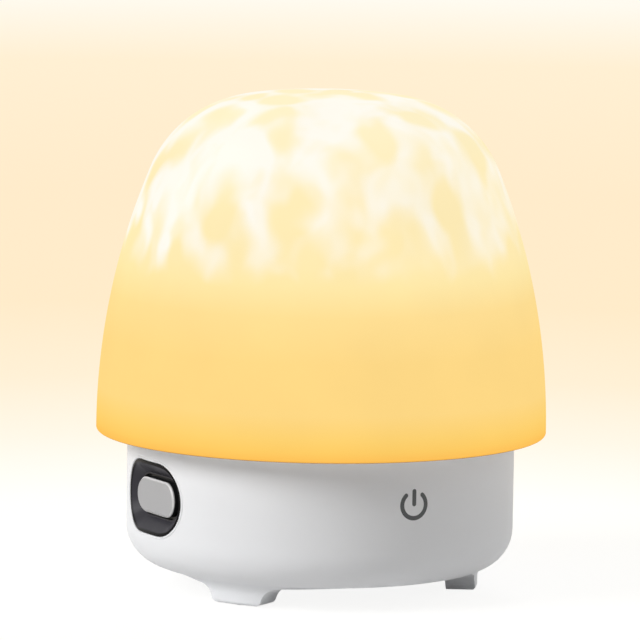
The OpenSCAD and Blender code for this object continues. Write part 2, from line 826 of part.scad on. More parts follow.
module button_board() {
    color("darkgreen") difference() {
        translate([-button_board_x, -button_board_w / 2, bezel_z - button_board_h / 2])
            cube([button_board_t, button_board_w, button_board_h]);
        for (side = [-1, 1]) translate([-button_board_x - over, side * bezel_boss_y, bezel_z])
            rotate([0, 90, 0])
                cylinder(d = small_screw_d + screw_gap, h = button_board_t + 2 * over, $fn = 24);
    }
}

module button_switch() {
    bore = button_travel + plunger_in;
    color("dimgray") difference() {
        translate([-switch_face_x, -switch_size / 2, bezel_z - switch_size / 2])
            cube([switch_t, switch_size, switch_size]);
        translate([-switch_face_x - over, 0, bezel_z]) rotate([0, 90, 0])
            cylinder(d = plunger_d + 2 * run_gap, h = over + bore + run_gap);
    }
}

module switch_plunger() {
    color("black") translate([-plunger_tip_x, 0, bezel_z]) rotate([0, 90, 0])
        cylinder(d = plunger_d, h = plunger_out + plunger_in);
}

module touch_electrode() {
    pad = [14, 12];
    pad_z = 32.5;
    tape_t = 0.3;
    color("goldenrod") intersection() {
        tube(base_in_r - run_gap, base_in_r - run_gap - tape_t, pad_z - pad.y / 2, pad_z + pad.y / 2);
        translate([-pad.x / 2, -base_r, 0]) cube([pad.x, base_r, tray_z]);
    }
}

module led_board() {
    color("white") tube(led_board_out_r, led_board_in_r, deck_z, led_top);
}

module ring_leds() {
    body = [5, 5, 1.6];
    cup_d = 4;
    cup = 0.3;
    step = 360 / ring_led_count;
    color("khaki") for (i = [0:ring_led_count - 1]) rotate(-90 + step * (i + 0.5))
        translate([ring_led_r, 0, led_top]) difference() {
            translate([-body.x / 2, -body.y / 2, 0]) cube(body);
            translate([0, 0, body.z - cup]) cylinder(d = cup_d, h = cup + over, $fn = 32);
        }
}

// Receiver block with a round eye that looks out through the dome at the front
module ir_receiver() {
    body = [5.6, 3.6, 6.8];
    eye_d = 4;
    eye_z = 4.1;
    color("black") translate([0, -ring_led_r, led_top]) union() {
        translate([-body.x / 2, -body.y / 2, 0]) cube(body);
        translate([0, -body.y / 2, eye_z]) sphere(d = eye_d, $fn = 32);
    }
}

module heat_sink() {
    fins = 16;
    fin_depth = 5;
    fin_gap = 1.8;
    base_t = 1.5;
    color("silver") difference() {
        disc(sink_r, deck_z, star_z);
        for (i = [0:fins - 1]) rotate(360 / fins * (i + 0.5))
            translate([sink_r - fin_depth, -fin_gap / 2, deck_z + base_t])
                cube([fin_depth + over, fin_gap, sink_h - 2 * base_t]);
    }
}

module star_board() {
    star_r = 10;
    color("white") translate([0, 0, star_z]) linear_extrude(star_t) circle(r = star_r, $fn = 6);
}

module projector_led() {
    body = [7, 7, 1.4];
    bulb_d = 5;
    color("khaki") translate([0, 0, emitter_z]) union() {
        translate([-body.x / 2, -body.y / 2, 0]) cube(body);
        intersection() {
            translate([0, 0, body.z]) sphere(d = bulb_d, $fn = 48);
            disc(bulb_d, body.z - over, body.z + bulb_d);
        }
    }
}

// Flat below and strongly curved above, held on the tower's ledge
module condenser_lens() {
    edge_t = 1.5;
    lens_r = journal_r - fit_gap;
    rise = lens_t - edge_t;
    bow_r = (pow(lens_r, 2) + pow(rise, 2)) / (2 * rise);
    half_angle = asin(lens_r / bow_r);
    color("lightcyan") rotate_extrude() polygon(concat([[0, lens_z], [lens_r, lens_z]],
        arc(0, lens_z + lens_t - bow_r, bow_r, 90 - half_angle, 90)));
}

module projector_tower() {
    ledge_t = 1.5;
    ledge_r = journal_r - tower_wall;
    foot_ring_r = tower_screw_r + tower_screw_out;
    vent_d = 4;
    color("white") difference() {
        rotate_extrude() polygon([[tower_r - tower_wall, deck_z], [foot_ring_r, deck_z],
            [foot_ring_r, deck_z + tower_flange_t], [tower_r, deck_z + tower_flange_t], [tower_r, tower_top],
            [journal_r, tower_top], [journal_r, lens_z], [ledge_r, lens_z], [ledge_r, lens_z - ledge_t],
            [tower_r - tower_wall, lens_z - ledge_t]]);
        round_at(tower_screw_angles, tower_screw_r)
            disc((small_screw_d + screw_gap) / 2, deck_z - over, deck_z + tower_flange_t + over);
        for (a = [0:45:315]) rotate(a)
            translate([tower_r - tower_wall - over, 0, deck_z + tower_flange_t + vent_d])
                rotate([0, 90, 0]) cylinder(d = vent_d, h = tower_wall + 2 * over, $fn = 24);
    }
}

module deck_screws() {
    color("silver") {
        round_at(tower_screw_angles, tower_screw_r) translate([0, 0, deck_z + tower_flange_t])
            screw(small_screw_d, tower_flange_t + tray_t - fit_gap, small_head_d, small_head_t);
        for (side = [-1, 1]) translate([drive_x, side * bracket_screw_y, deck_z + motor_plate_t])
            screw(small_screw_d, motor_plate_t + tray_t - fit_gap, small_head_d, small_head_t);
    }
}

// Half the angle that a tooth takes at radius r, by the involute of its base circle
function involute(a) = tan(a) * 180 / PI - a;
function tooth_half(r, teeth) =
    let (pitch_r = gear_m * teeth / 2, base = pitch_r * cos(pressure_angle))
    90 / teeth - backlash / pitch_r * 90 / PI + involute(pressure_angle) - involute(acos(min(1, base / r)));

// Outline of a spur gear with its first tooth on +X
function tooth(i, teeth) =
    let (pitch_r = gear_m * teeth / 2, mid = 360 / teeth * i, root = pitch_r - dedendum * gear_m,
        radii = [root, pitch_r - 0.5 * gear_m, pitch_r, pitch_r + 0.5 * gear_m, pitch_r + addendum * gear_m])
    concat(
        [for (r = radii) let (a = mid - tooth_half(r, teeth)) [r * cos(a), r * sin(a)]],
        [for (r = reversed(radii)) let (a = mid + tooth_half(r, teeth)) [r * cos(a), r * sin(a)]]);

module gear_outline(teeth) {
    polygon([for (i = [0:teeth - 1]) each tooth(i, teeth)]);
}

// Ring gear on a hollow journal, with a seat for the ripple glass
module ripple_wheel() {
    hole_d = 4;
    hole_in = 0.6;
    journal_in_r = glass_r - seat_w;
    hole_circle_r = (tower_r + wheel_pitch_r) / 2 - hole_in;
    color("white") difference() {
        union() {
            translate([0, 0, wheel_z]) linear_extrude(gear_t) gear_outline(wheel_teeth);
            disc(journal_r - run_gap, tower_top - bearing_h, wheel_z + over);
        }
        disc(journal_in_r, tower_top - bearing_h - over, wheel_top + over);
        disc(glass_r, wheel_z + glass_seat, wheel_top + over);
        round_at([0:30:330], hole_circle_r) disc(hole_d / 2, wheel_z - over, wheel_top + over);
    }
}

// Clear disc with straight waves pressed into its top
module ripple_glass() {
    plate = 1.2;
    wave_h = 0.8;
    waves = 7;
    steps = waves * 8;
    half = glass_r - run_gap;
    low_z = wheel_z + glass_seat;
    crest = [for (i = [0:steps]) [-half + 2 * half * i / steps,
        low_z + plate + wave_h * (0.5 - 0.5 * cos(360 * waves * i / steps))]];
    color("lightcyan") intersection() {
        disc(half, low_z, low_z + plate + wave_h);
        translate([0, half, 0]) rotate([90, 0, 0]) linear_extrude(2 * half)
            polygon(concat(crest, [[half, low_z], [-half, low_z]]));
    }
}

// Bridge on three legs that holds the fixed lens over the wheel
module projector_cap() {
    ring_r = journal_r + cap_ring;
    arm_w = cap_leg_d;
    lens_seat_r = glass_r + fit_gap;
    color("white") difference() {
        union() {
            disc(ring_r, cap_z, cap_z + cap_t);
            round_at(cap_leg_angles, cap_leg_r) disc(cap_leg_d / 2, deck_z, cap_z + cap_t);
            for (a = cap_leg_angles) rotate(a) translate([journal_r, -arm_w / 2, cap_z])
                cube([cap_leg_r - journal_r, arm_w, cap_t]);
        }
        disc(cap_hole_r, cap_z - over, cap_z + cap_t + over);
        disc(lens_seat_r, cap_z + cap_t / 2, cap_z + cap_t + over);
        round_at(cap_leg_angles, cap_leg_r)
            disc((small_screw_d + screw_gap) / 2, deck_z - over, deck_z + cap_screw_len);
    }
}

module cap_screws() {
    color("silver") round_at(cap_leg_angles, cap_leg_r) translate([0, 0, tray_z])
        screw(small_screw_d, cap_screw_len, small_head_d, small_head_t, true);
}

// Clear disc with rings of waves on its top, which splits the moving light again
module fixed_ripple_lens() {
    plate = 1.4;
    wave_h = 0.7;
    waves = 4;
    steps = waves * 8;
    low_z = cap_z + cap_t / 2;
    crest = [for (i = [0:steps]) [glass_r * i / steps,
        low_z + plate + wave_h * (0.5 + 0.5 * cos(360 * waves * i / steps))]];
    color("lightcyan") rotate_extrude() polygon(concat([[0, low_z]], crest, [[glass_r, low_z]]));
}

module motor_bracket() {
    leg_gap = 0.3;
    leg_y = motor_d / 2 + leg_gap;
    tab_y = bracket_screw_y + bracket_tab_end;
    boss_d = 4.4;
    half = [[leg_y, motor_plate_z], [leg_y, deck_z], [tab_y, deck_z], [tab_y, deck_z + motor_plate_t],
        [leg_y + motor_plate_t, deck_z + motor_plate_t],
        [leg_y + motor_plate_t, motor_plate_z + motor_plate_t]];
    color("silver") difference() {
        translate([drive_x, 0, 0]) rotate([90, 0, 90]) translate([0, 0, -motor_w / 2]) linear_extrude(motor_w)
            polygon(concat(half, reversed([for (p = half) [-p.x, p.y]])));
        translate([drive_x, 0, 0])
            disc(boss_d / 2, motor_plate_z - over, motor_plate_z + motor_plate_t + over);
        for (side = [-1, 1]) {
            translate([drive_x, side * motor_screw_y, 0]) disc((motor_screw_d + screw_gap) / 2,
                motor_plate_z - over, motor_plate_z + motor_plate_t + over, $fn = 24);
            translate([drive_x, side * bracket_screw_y, 0]) disc((small_screw_d + screw_gap) / 2,
                deck_z - over, deck_z + motor_plate_t + over, $fn = 24);
        }
    }
}

// Small gear motor: a flat-sided can under a square gearbox
module gear_motor() {
    gearbox_z = motor_plate_z - gearbox_h;
    can_z = gearbox_z - motor_can_h;
    nose_d = 4;
    shaft_depth = motor_plate_z - shaft_low_z;
    color("silver") translate([drive_x, 0, 0]) difference() {
        union() {
            intersection() {
                disc(motor_w / 2, can_z, gearbox_z + over);
                translate([-motor_w / 2, -motor_d / 2, can_z]) cube([motor_w, motor_d, motor_can_h + over]);
            }
            translate([-motor_w / 2, -motor_d / 2, gearbox_z]) cube([motor_w, motor_d, gearbox_h]);
            disc(nose_d / 2, motor_plate_z - over, motor_plate_z + motor_plate_t);
        }
        disc(motor_shaft_d / 2 + run_gap, shaft_low_z - run_gap, motor_plate_z + shaft_depth);
        for (side = [-1, 1]) translate([0, side * motor_screw_y, 0])
            disc((motor_screw_d + screw_gap) / 2, motor_plate_z - motor_screw_in - over, motor_plate_z + over,
                $fn = 24);
    }
}

module motor_shaft() {
    color("silver") translate([drive_x, 0, 0]) disc(motor_shaft_d / 2, shaft_low_z, wheel_top + shaft_end);
}

module motor_pinion() {
    color("ivory") translate([drive_x, 0, wheel_z]) rotate(180 + 180 / pinion_teeth) difference() {
        linear_extrude(gear_t) gear_outline(pinion_teeth);
        translate([0, 0, -over]) cylinder(d = motor_shaft_d + screw_gap, h = gear_t + 2 * over);
    }
}

module motor_screws() {
    color("silver") for (side = [-1, 1])
        translate([drive_x, side * motor_screw_y, motor_plate_z + motor_plate_t])
            screw(motor_screw_d, motor_plate_t + motor_screw_in, motor_head_d, motor_head_t);
}

dome_diffuser();
light_tray();
base_shell();
foot_pads();
case_screws();
speaker_grille();
speaker_gasket();
speaker_frame();
speaker_screws();
speaker_surround();
speaker_cone();
dust_cap();
voice_coil();
speaker_spider();
speaker_top_plate();
speaker_magnet();
speaker_yoke();
main_board();
board_chips();
board_capacitors();
wireless_module();
board_screws();
battery_cell();
battery_foam();
port_board();
usb_socket();
button_bezel();
side_button();
button_board();
button_switch();
switch_plunger();
touch_electrode();
led_board();
ring_leds();
ir_receiver();
heat_sink();
star_board();
projector_led();
condenser_lens();
projector_tower();
deck_screws();
ripple_wheel();
ripple_glass();
projector_cap();
cap_screws();
fixed_ripple_lens();
motor_bracket();
gear_motor();
motor_shaft();
motor_pinion();
motor_screws();
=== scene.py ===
import math

import bmesh
import bpy
import numpy as np
from mathutils import Matrix, Vector


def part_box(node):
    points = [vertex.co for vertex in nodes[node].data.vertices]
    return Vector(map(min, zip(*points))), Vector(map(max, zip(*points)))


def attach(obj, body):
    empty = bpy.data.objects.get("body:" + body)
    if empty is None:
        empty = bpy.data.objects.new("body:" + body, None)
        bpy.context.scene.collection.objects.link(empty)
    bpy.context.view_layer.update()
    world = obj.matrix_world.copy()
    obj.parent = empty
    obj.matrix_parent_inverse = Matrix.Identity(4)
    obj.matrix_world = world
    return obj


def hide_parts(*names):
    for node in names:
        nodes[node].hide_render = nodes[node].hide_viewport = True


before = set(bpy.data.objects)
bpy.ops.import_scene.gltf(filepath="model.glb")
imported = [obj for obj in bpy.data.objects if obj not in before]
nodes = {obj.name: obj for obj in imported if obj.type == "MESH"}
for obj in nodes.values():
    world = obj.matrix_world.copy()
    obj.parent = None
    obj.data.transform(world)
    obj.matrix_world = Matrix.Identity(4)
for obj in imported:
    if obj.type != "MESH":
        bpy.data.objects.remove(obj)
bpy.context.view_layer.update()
scene = bpy.context.scene
scene.view_settings.view_transform = "Standard"


# Camera: the lamp is seen from the left of its front and a little from above, through a long lens.
# It looks at the lamp's axis, and leans slightly as the photograph does.
camera_azimuth = math.radians(-28.8)
camera_elevation = math.radians(7.37)
camera_distance = 2.0
aim_height = 0.0796
aim_side = -0.00082
camera_lean = math.radians(0.9)

view_back = Vector((math.sin(camera_azimuth) * math.cos(camera_elevation),
                    -math.cos(camera_azimuth) * math.cos(camera_elevation),
                    math.sin(camera_elevation)))
view_right = Vector((math.cos(camera_azimuth), math.sin(camera_azimuth), 0.0))
camera_data = bpy.data.cameras.new("photo_camera")
camera_data.lens = 378.2
camera_data.sensor_width = 36.0
camera_data.clip_start = 0.05
camera_data.clip_end = 100.0
camera = bpy.data.objects.new("photo_camera", camera_data)
scene.collection.objects.link(camera)
scene.camera = camera
camera_place = Matrix.Translation(Vector((0.0, 0.0, aim_height)) + view_right * aim_side
                                  + view_back * camera_distance)
camera_turn = (-view_back).to_track_quat("-Z", "Y").to_matrix().to_4x4()
camera.matrix_world = camera_place @ camera_turn @ Matrix.Rotation(camera_lean, 4, "Z")


# Studio light: a wide soft key from the left of the camera, a weaker fill from its right, soft lamps overhead
# and behind, and an even pale surround, which gloss and glass see as white paper.
def soft_lamp(name, side_degrees, height_degrees, strength, spread_degrees, shine=True):
    """A far lamp, placed by its angle to the right of the camera and its angle above the horizon."""
    side = camera_azimuth + math.radians(side_degrees)
    height = math.radians(height_degrees)
    toward = Vector((math.sin(side) * math.cos(height), -math.cos(side) * math.cos(height), math.sin(height)))
    data = bpy.data.lights.new(name, "SUN")
    data.energy = strength
    data.angle = math.radians(spread_degrees)
    lamp = bpy.data.objects.new(name, data)
    lamp.rotation_mode = "QUATERNION"
    lamp.rotation_quaternion = toward.to_track_quat("Z", "Y")
    lamp.visible_glossy = shine
    scene.collection.objects.link(lamp)


def feed(tree, socket, value):
    """Gives a socket a number or a colour, or links another socket to it."""
    if isinstance(value, (int, float, tuple)):
        socket.default_value = value
    else:
        tree.links.new(value, socket)


def calc(tree, operation, *values):
    """One sum: each value is a socket or a number."""
    node = tree.nodes.new("ShaderNodeMath")
    node.operation = operation
    for socket, value in zip(node.inputs, values):
        feed(tree, socket, value)
    return node.outputs[0]


def seen_directly(tree):
    """1 for rays from the camera, from gloss and through glass, 0 for rays that only carry light."""
    ray = tree.nodes.new("ShaderNodeLightPath").outputs
    camera_or_gloss = calc(tree, "MAXIMUM", ray["Is Camera Ray"], ray["Is Glossy Ray"])
    return calc(tree, "MAXIMUM", camera_or_gloss, ray["Is Transmission Ray"])


soft_lamp("key_lamp", -62, 32, 2.3, 29)
soft_lamp("fill_lamp", 102, 24, 0.6, 40)
soft_lamp("top_lamp", 0, 80, 0.55, 60)
soft_lamp("back_lamp", 178, 30, 0.9, 25, shine=False)

white = (1.0, 1.0, 1.0, 1.0)
room_strength = 0.08
surround = bpy.data.worlds.new("studio_surround")
scene.world = surround
surround.use_nodes = True
tree = surround.node_tree
tree.nodes.clear()
world_out = tree.nodes.new("ShaderNodeOutputWorld")
world_mix = tree.nodes.new("ShaderNodeMixShader")
room_light = tree.nodes.new("ShaderNodeBackground")
room_light.inputs["Color"].default_value = white
room_light.inputs["Strength"].default_value = room_strength
white_paper = tree.nodes.new("ShaderNodeBackground")
white_paper.inputs["Color"].default_value = white
tree.links.new(seen_directly(tree), world_mix.inputs["Fac"])
tree.links.new(room_light.outputs[0], world_mix.inputs[1])
tree.links.new(white_paper.outputs[0], world_mix.inputs[2])
tree.links.new(world_mix.outputs[0], world_out.inputs["Surface"])


# Floor: a wide sheet of paper, white round the lamp and a pale cream further out.
# It keeps the lamp's shadow, throws back white light, and clears when it is seen from below.
def linear(red, green, blue):
    """Linear colour of a display colour in steps of 255: the display curve undone."""
    shown = np.array([red, green, blue]) / 255.0
    light = np.where(shown <= 0.04045, shown / 12.92, ((shown + 0.055) / 1.055) ** 2.4)
    return (float(light[0]), float(light[1]), float(light[2]), 1.0)


def new_material(name):
    """An empty material: its node tree and its output node."""
    material = bpy.data.materials.new(name)
    material.use_nodes = True
    material.node_tree.nodes.clear()
    return material, material.node_tree, material.node_tree.nodes.new("ShaderNodeOutputMaterial")


def object_spot(tree):
    """The place of the point being shaded, in the lamp's own frame."""
    return tree.nodes.new("ShaderNodeTexCoord").outputs["Object"]


def ramp(tree, share, stops):
    """The colour at a share along a list of places and display colours."""
    node = tree.nodes.new("ShaderNodeValToRGB")
    band = node.color_ramp
    for element, (place, colour) in zip(band.elements, (stops[0], stops[-1])):
        element.position = place
        element.color = linear(*colour)
    for place, colour in stops[1:-1]:
        band.elements.new(place).color = linear(*colour)
    tree.links.new(share, node.inputs["Fac"])
    return node.outputs["Color"]


def mixed(tree, share, first, second):
    """The first colour where the share is 0, the second where it is 1: sockets or linear colours."""
    node = tree.nodes.new("ShaderNodeMix")
    node.data_type = "RGBA"
    feed(tree, node.inputs["Factor"], share)
    feed(tree, node.inputs["A"], first)
    feed(tree, node.inputs["B"], second)
    return node.outputs["Result"]


def shaded(tree, colour, amount):
    """A colour made lighter or darker by a factor."""
    node = tree.nodes.new("ShaderNodeVectorMath")
    node.operation = "SCALE"
    tree.links.new(colour, node.inputs[0])
    tree.links.new(amount, node.inputs["Scale"])
    return node.outputs["Vector"]


floor_half = 12.0
cream_reach = 2.4
matt_bounced = 0.84
matt_seen = 0.16
glow_seen = 0.9
floor_mesh = bpy.data.meshes.new("floor")
floor_mesh.from_pydata([(-floor_half, -floor_half, 0), (floor_half, -floor_half, 0),
                        (floor_half, floor_half, 0), (-floor_half, floor_half, 0)], [], [(0, 1, 2, 3)])
floor = bpy.data.objects.new("floor", floor_mesh)
scene.collection.objects.link(floor)

paper, tree, out = new_material("paper_sweep")
away = tree.nodes.new("ShaderNodeVectorMath")
away.operation = "LENGTH"
tree.links.new(object_spot(tree), away.inputs[0])
cream = ramp(tree, calc(tree, "DIVIDE", away.outputs["Value"], cream_reach),
             [(0.0, (255, 255, 255)), (0.075, (255, 254, 250)), (0.13, (254, 245, 229)),
              (0.19, (253, 237, 211)), (0.28, (252, 232, 199)), (0.45, (252, 232, 200)),
              (0.72, (252, 236, 208)), (0.9, (254, 247, 236))])
looked_at = seen_directly(tree)
matt = tree.nodes.new("ShaderNodeBsdfDiffuse")
matt_share = calc(tree, "MULTIPLY_ADD", looked_at, matt_seen - matt_bounced, matt_bounced)
tree.links.new(shaded(tree, mixed(tree, looked_at, white, cream), matt_share), matt.inputs["Color"])
glow = tree.nodes.new("ShaderNodeEmission")
tree.links.new(cream, glow.inputs["Color"])
tree.links.new(calc(tree, "MULTIPLY", looked_at, glow_seen), glow.inputs["Strength"])
both = tree.nodes.new("ShaderNodeAddShader")
tree.links.new(matt.outputs[0], both.inputs[0])
tree.links.new(glow.outputs[0], both.inputs[1])
clear = tree.nodes.new("ShaderNodeBsdfTransparent")
below = tree.nodes.new("ShaderNodeMixShader")
facing = tree.nodes.new("ShaderNodeNewGeometry")
tree.links.new(facing.outputs["Backfacing"], below.inputs["Fac"])
tree.links.new(both.outputs[0], below.inputs[1])
tree.links.new(clear.outputs[0], below.inputs[2])
tree.links.new(below.outputs[0], out.inputs["Surface"])
floor_mesh.materials.append(paper)


# Drum base: one injection moulding in white ABS with three arched feet, open at the top for the tray.
# Its skin is a fine even spark texture, so it is nearly matt, with a faint sheen.
COLOUR, VALUE = "NodeSocketColor", "NodeSocketFloat"
SKIN = [("Color", COLOUR), ("Roughness", VALUE), ("Height", VALUE)]


def node_group(name, inputs, outputs):
    """A shader group with named sockets: numbers, or colours where the default has four values."""
    group = bpy.data.node_groups.new(name, "ShaderNodeTree")
    for label, value in inputs:
        kind = COLOUR if isinstance(value, tuple) else VALUE
        group.interface.new_socket(name=label, in_out="INPUT", socket_type=kind).default_value = value
    for label, kind in outputs:
        group.interface.new_socket(name=label, in_out="OUTPUT", socket_type=kind)
    return group, group.nodes.new("NodeGroupInput"), group.nodes.new("NodeGroupOutput")


def noise(tree, vector, scale, detail=2.0, stretch=None, roughness=0.5):
    """Soft noise from 0 to 1 at so many cells a metre, on a vector that may first be stretched."""
    node = tree.nodes.new("ShaderNodeTexNoise")
    feed(tree, node.inputs["Scale"], scale)
    node.inputs["Detail"].default_value = detail
    node.inputs["Roughness"].default_value = roughness
    if stretch is not None:
        mapping = tree.nodes.new("ShaderNodeMapping")
        mapping.inputs["Scale"].default_value = stretch
        tree.links.new(vector, mapping.inputs["Vector"])
        vector = mapping.outputs["Vector"]
    tree.links.new(vector, node.inputs["Vector"])
    return node.outputs["Fac"]


def swing(tree, share, amount, middle):
    """A middle value plus an amount times what a share is above one half."""
    return calc(tree, "MULTIPLY_ADD", calc(tree, "SUBTRACT", share, 0.5), amount, middle)


# Moulded skin: cloudy tone over centimetres, spark-eroded grain under half a millimetre
moulded_skin, given, made = node_group(
    "moulded_skin", [("Color", (0.8, 0.8, 0.8, 1.0)), ("Tone", 0.03), ("Roughness", 0.5), ("Grain", 2600.0)],
    SKIN)
tree = moulded_skin
spot = object_spot(tree)
cloud = noise(tree, spot, 55.0, 3.0)
grain = noise(tree, spot, given.outputs["Grain"], 1.5)
tone = swing(tree, cloud, calc(tree, "MULTIPLY", given.outputs["Tone"], 2.0), 1.0)
polish = swing(tree, cloud, 0.16, given.outputs["Roughness"])
tree.links.new(shaded(tree, given.outputs["Color"], tone), made.inputs["Color"])
tree.links.new(calc(tree, "MULTIPLY_ADD", grain, 0.06, polish), made.inputs["Roughness"])
tree.links.new(grain, made.inputs["Height"])


def bumped(tree, surface, height, depth, strength=0.6):
    """Tilts a surface's normal by a height of so many metres."""
    bump = tree.nodes.new("ShaderNodeBump")
    bump.inputs["Strength"].default_value = strength
    bump.inputs["Distance"].default_value = depth
    tree.links.new(height, bump.inputs["Height"])
    tree.links.new(bump.outputs["Normal"], surface.inputs["Normal"])


def principled(tree, out, group, values, bump_depth, **constants):
    """The surface shader fed by one group's colour, roughness and height; constants sit on its sockets."""
    effect = tree.nodes.new("ShaderNodeGroup")
    effect.node_tree = group
    for label, value in values.items():
        feed(tree, effect.inputs[label], value)
    surface = tree.nodes.new("ShaderNodeBsdfPrincipled")
    for label, value in constants.items():
        surface.inputs[label.replace("_", " ")].default_value = value
    tree.links.new(effect.outputs["Color"], surface.inputs["Base Color"])
    tree.links.new(effect.outputs["Roughness"], surface.inputs["Roughness"])
    bumped(tree, surface, effect.outputs["Height"], bump_depth)
    tree.links.new(surface.outputs[0], out.inputs["Surface"])


def moulded(name, colour, roughness, tone=0.03, grain=2600.0, bump_depth=0.00002, **constants):
    """A moulded plastic or rubber finish in one display colour."""
    material, tree, out = new_material(name)
    principled(tree, out, moulded_skin, {"Color": linear(*colour), "Tone": tone, "Roughness": roughness,
                                         "Grain": grain}, bump_depth, **constants)
    return material


# Soft shading: the solids' loose triangles are joined, and edges sharper than the limit stay crisp
solid_merge = 0.000002
crisp_angle = math.radians(24)
soft_shading = bpy.data.node_groups.new("soft_shading", "GeometryNodeTree")
soft_shading.interface.new_socket(name="Geometry", in_out="INPUT", socket_type="NodeSocketGeometry")
soft_shading.interface.new_socket(name="Geometry", in_out="OUTPUT", socket_type="NodeSocketGeometry")
tree = soft_shading
solid_in = tree.nodes.new("NodeGroupInput")
solid_out = tree.nodes.new("NodeGroupOutput")
joined = tree.nodes.new("GeometryNodeMergeByDistance")
joined.inputs["Distance"].default_value = solid_merge
all_smooth = tree.nodes.new("GeometryNodeSetShadeSmooth")
all_smooth.domain = "FACE"
all_smooth.inputs["Shade Smooth"].default_value = True
crisp = tree.nodes.new("GeometryNodeSetShadeSmooth")
crisp.domain = "EDGE"
edge_angle = tree.nodes.new("GeometryNodeInputMeshEdgeAngle")
gentle = tree.nodes.new("FunctionNodeCompare")
gentle.data_type = "FLOAT"
gentle.operation = "LESS_THAN"
gentle.inputs["B"].default_value = crisp_angle
tree.links.new(solid_in.outputs[0], joined.inputs["Geometry"])
tree.links.new(joined.outputs["Geometry"], all_smooth.inputs["Geometry"])
tree.links.new(all_smooth.outputs["Geometry"], crisp.inputs["Geometry"])
tree.links.new(edge_angle.outputs["Unsigned Angle"], gentle.inputs["A"])
tree.links.new(gentle.outputs["Result"], crisp.inputs["Shade Smooth"])
tree.links.new(crisp.outputs["Geometry"], solid_out.inputs[0])


def dress(material, *names):
    """Gives nodes of the frame a finish and soft shading."""
    for name in names:
        node = nodes[name]
        node.data.materials.clear()
        node.data.materials.append(material)
        node.modifiers.new("soft_shading", "NODES").node_group = soft_shading


base_r = 0.05765
white_abs = moulded("white_abs", (236, 237, 239), 0.42, tone=0.012, bump_depth=0.000012,
                    Specular_IOR_Level=0.2)
dress(white_abs, "base_shell")


# Touch symbol: an open ring and a bar printed in dark grey ink on the front of the drum.
# It is only a film of ink, over the electrode that is glued to the inside of the wall.
def grid_faces(rows, columns):
    """Quads between neighbours on a grid of points, row by row, with the last column joined to the first."""
    row = np.arange(rows - 1)[:, None] * columns
    column = np.arange(columns)[None, :]
    after = (column + 1) % columns
    next_row = row + columns
    return np.stack([row + column, row + after, next_row + after, next_row + column], -1).reshape(-1, 4)


point_merge = 0.0000005
edge_sliver = 0.0000002


def piece(name, patches, material, body, replaced=()):
    """A mesh of grids of points, each closed across its columns, joined where points meet; rides a body."""
    points = np.concatenate([patch.reshape(-1, 3) for patch in patches])
    starts = np.cumsum([0] + [patch.shape[0] * patch.shape[1] for patch in patches])[:-1]
    faces = np.concatenate([grid_faces(patch.shape[0], patch.shape[1]) + start
                            for patch, start in zip(patches, starts)])
    mesh = bpy.data.meshes.new(name)
    mesh.from_pydata(points.tolist(), [], faces.tolist())
    bm = bmesh.new()
    bm.from_mesh(mesh)
    bmesh.ops.remove_doubles(bm, verts=bm.verts, dist=point_merge)
    bmesh.ops.dissolve_degenerate(bm, edges=bm.edges, dist=edge_sliver)
    bmesh.ops.recalc_face_normals(bm, faces=bm.faces)
    bm.to_mesh(mesh)
    bm.free()
    mesh.materials.append(material)
    obj = bpy.data.objects.new(name, mesh)
    scene.collection.objects.link(obj)
    obj.modifiers.new("soft_shading", "NODES").node_group = soft_shading
    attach(obj, body)
    if replaced:
        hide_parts(*replaced)


ink_side = -0.0004
ink_height = 0.03235
ink_ring_r = 0.0039
ink_half = 0.00065
ink_gap = math.radians(43)
ink_film = 0.00006
bar_low = -0.0004
bar_high = 0.0047
oval_points = 16
cap_points = 8
arc_points = 90
bar_points = 10


def ink_stroke(path_across, path_up, along_across, along_up):
    """A stroke on the drum: at each path point a flat oval lies across the path, its long half the pen's
    half width, which falls as a half circle over the last half width at both ends; then it is wrapped
    round the drum, across going round and up staying up."""
    run = np.concatenate([[0.0], np.cumsum(np.hypot(np.diff(path_across), np.diff(path_up)))])
    near_end = np.clip(np.minimum(run, run[-1] - run), 0.0, ink_half)
    half = np.sqrt(np.clip(ink_half ** 2 - (ink_half - near_end) ** 2, 0.0, None))[:, None]
    turn = np.linspace(0, 2 * np.pi, oval_points, endpoint=False)[None, :]
    across = ink_side + path_across[:, None] + half * np.cos(turn) * along_up[:, None]
    up = path_up[:, None] - half * np.cos(turn) * along_across[:, None]
    out_r = base_r + ink_film * np.sin(turn) * np.minimum(1.0, half / ink_half)
    angle = across / base_r
    return np.stack([out_r * np.sin(angle), -out_r * np.cos(angle), up + ink_height], -1)


cap_turn = ink_half / ink_ring_r
arc_turn = 2 * np.pi - 2 * ink_gap
sweep = np.pi / 2 - ink_gap + cap_turn - np.concatenate([
    np.linspace(0, cap_turn, cap_points, endpoint=False),
    np.linspace(cap_turn, arc_turn + cap_turn, arc_points),
    np.linspace(arc_turn + cap_turn, arc_turn + 2 * cap_turn, cap_points + 1)[1:]])
ring_stroke = ink_stroke(ink_ring_r * np.cos(sweep), ink_ring_r * np.sin(sweep),
                         np.sin(sweep), -np.cos(sweep))
bar_up = np.concatenate([bar_low + ink_half * np.linspace(0, 1, cap_points, endpoint=False),
                         np.linspace(bar_low + ink_half, bar_high - ink_half, bar_points),
                         bar_high - ink_half * np.linspace(1, 0, cap_points + 1)[1:]])
bar_stroke = ink_stroke(np.zeros_like(bar_up), bar_up, np.zeros_like(bar_up), np.ones_like(bar_up))
grey_ink = moulded("grey_ink", (78, 80, 82), 0.5, tone=0.05, grain=5200.0, bump_depth=0.000006)
piece("touch_symbol", [ring_stroke, bar_stroke], grey_ink, "housing")


